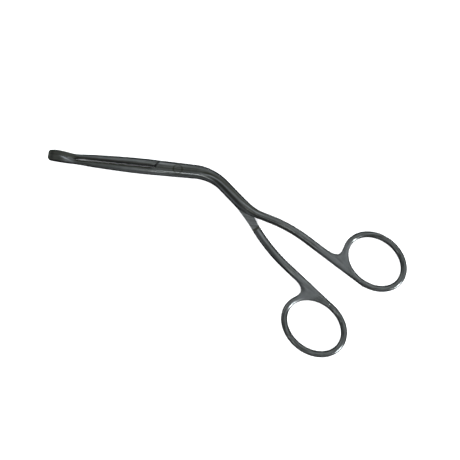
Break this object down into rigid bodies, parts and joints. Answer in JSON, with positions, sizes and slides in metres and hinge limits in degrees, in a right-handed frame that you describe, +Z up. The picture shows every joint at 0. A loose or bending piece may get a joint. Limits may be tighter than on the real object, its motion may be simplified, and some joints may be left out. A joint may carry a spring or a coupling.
{
  "type": "magill forceps",
  "caption": "Slim angled forceps: a flush lap joint, offset shanks, oval finger rings, and jaws that end in pierced, cross-grooved grips.",
  "frame": {"origin": "the pivot axis at the flat underside of the lap joint", "axes": "+X along the closed jaws, from the grips to the finger rings; +Y to the side that the rear half's jaw opens to; +Z up, from the underside of the joint to its upper flat"},
  "size_m": [0.1963, 0.0954, 0.006],
  "materials": {
    "forged_steel": "satin, with fine polishing marks along each piece",
    "pin_steel": "ground flush with the joint"
  },
  "bodies": {
    "front": {"front_half": "forged_steel", "pivot_pin": "pin_steel"},
    "rear": {"rear_half": "forged_steel"}
  },
  "joints": [
    {"name": "pivot", "type": "hinge", "parent": "front", "child": "rear", "pos_m": [0, 0, 0.003], "axis": [0, 0, -1], "range_deg": [0, 50]}
  ]
}
